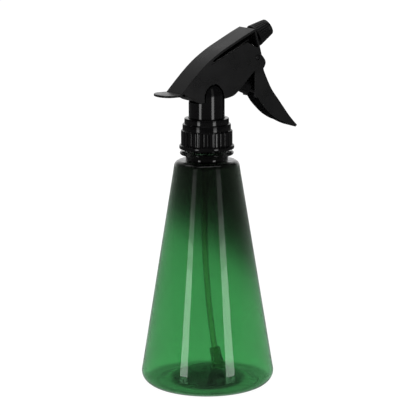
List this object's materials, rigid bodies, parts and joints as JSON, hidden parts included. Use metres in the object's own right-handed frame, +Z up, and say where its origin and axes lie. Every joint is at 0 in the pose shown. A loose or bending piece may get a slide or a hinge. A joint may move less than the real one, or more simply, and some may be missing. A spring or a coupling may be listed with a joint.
{
  "type": "hand mister",
  "caption": "Hand mister: trigger sprayer with a duck-tail shroud, screw-adjusted nozzle, sloped piston pump and bent dip tube on a transparent conical bottle.",
  "frame": {"origin": "on the surface that the bottle stands on, under the middle of the whole object's outline; the bottle's axis is 11.3 mm behind it along X", "axes": "+Z up along the bottle's axis, +X towards the nozzle, +Y across the sprayer head"},
  "size_m": [0.1105, 0.089, 0.2425],
  "materials": {
    "bottle_plastic": "transparent green, glossy, with a black fade over its upper part",
    "collar_plastic": "glossy black",
    "body_plastic": "glossy black",
    "shroud_plastic": "satin black",
    "trigger_plastic": "satin black",
    "nozzle_plastic": "satin black",
    "piston_plastic": "glossy black",
    "natural_plastic": "natural, uncoloured",
    "filter_plastic": "natural, uncoloured",
    "tube_plastic": "translucent, uncoloured",
    "seal_rubber": "matt black",
    "spring_steel": "drawn wire",
    "ball_steel": "polished",
    "screen_steel": "woven wire"
  },
  "bodies": {
    "bottle": {"bottle": "bottle_plastic"},
    "closure": {"neck_gasket": "seal_rubber"},
    "collar": {"collar": "collar_plastic"},
    "head": {"pump_body": "body_plastic", "shroud": "shroud_plastic", "tube_holder": "natural_plastic", "return_spring": "spring_steel", "outlet_spring": "spring_steel", "spinner": "natural_plastic", "dip_tube": "tube_plastic", "filter_body": "filter_plastic", "filter_screen": "screen_steel"},
    "trigger": {"trigger": "trigger_plastic"},
    "piston": {"piston": "piston_plastic", "piston_rear_seal": "seal_rubber", "piston_front_seal": "seal_rubber"},
    "inlet_ball": {"inlet_ball": "ball_steel"},
    "outlet_ball": {"outlet_ball": "ball_steel"},
    "nozzle_slider": {"nozzle_seal": "seal_rubber"},
    "nozzle_cap": {"nozzle_cap": "nozzle_plastic"}
  },
  "joints": [
    {"name": "sprayer_lift", "type": "slide", "parent": "bottle", "child": "closure", "axis": [0, 0, 1], "range_m": [0, 0.00635]},
    {"name": "collar_turn", "type": "hinge", "parent": "closure", "child": "collar", "pos_m": [-0.0113, 0, 0.165], "axis": [0, 0, 1], "range_deg": [0, 540]},
    {"name": "head_swivel", "type": "hinge", "parent": "closure", "child": "head", "pos_m": [-0.0113, 0, 0.176], "axis": [0, 0, 1], "continuous": true},
    {"name": "trigger_pull", "type": "hinge", "parent": "head", "child": "trigger", "pos_m": [0.0221, 0, 0.2191], "axis": [0, 1, 0], "range_deg": [0, 23], "stiffness_Nm_per_rad": 0.6, "springref_deg": -22.92},
    {"name": "piston_stroke", "type": "slide", "parent": "head", "child": "piston", "axis": [-0.9135, 0, 0.4067], "range_m": [0, 0.0078], "deforming": ["return_spring"]},
    {"name": "inlet_ball_lift", "type": "slide", "parent": "head", "child": "inlet_ball", "axis": [0, 0, 1], "range_m": [0, 0.0015]},
    {"name": "outlet_ball_lift", "type": "slide", "parent": "head", "child": "outlet_ball", "axis": [0.887, 0, 0.4617], "range_m": [0, 0.001], "stiffness_N_per_m": 60, "springref_m": -0.002, "deforming": ["outlet_spring"]},
    {"name": "nozzle_advance", "type": "slide", "parent": "head", "child": "nozzle_slider", "axis": [0.887, 0, 0.4617], "range_m": [0, 0.0015]},
    {"name": "nozzle_turn", "type": "hinge", "parent": "nozzle_slider", "child": "nozzle_cap", "pos_m": [0.0251, 0, 0.2321], "axis": [0.887, 0, 0.4617], "range_deg": [0, 360]}
  ],
  "couplings": [
    {"joint": "piston_stroke", "follows": "trigger_pull", "m_per_rad": 0.019},
    {"joint": "collar_turn", "follows": "sprayer_lift", "rad_per_m": 1484},
    {"joint": "nozzle_turn", "follows": "nozzle_advance", "rad_per_m": 4180}
  ]
}
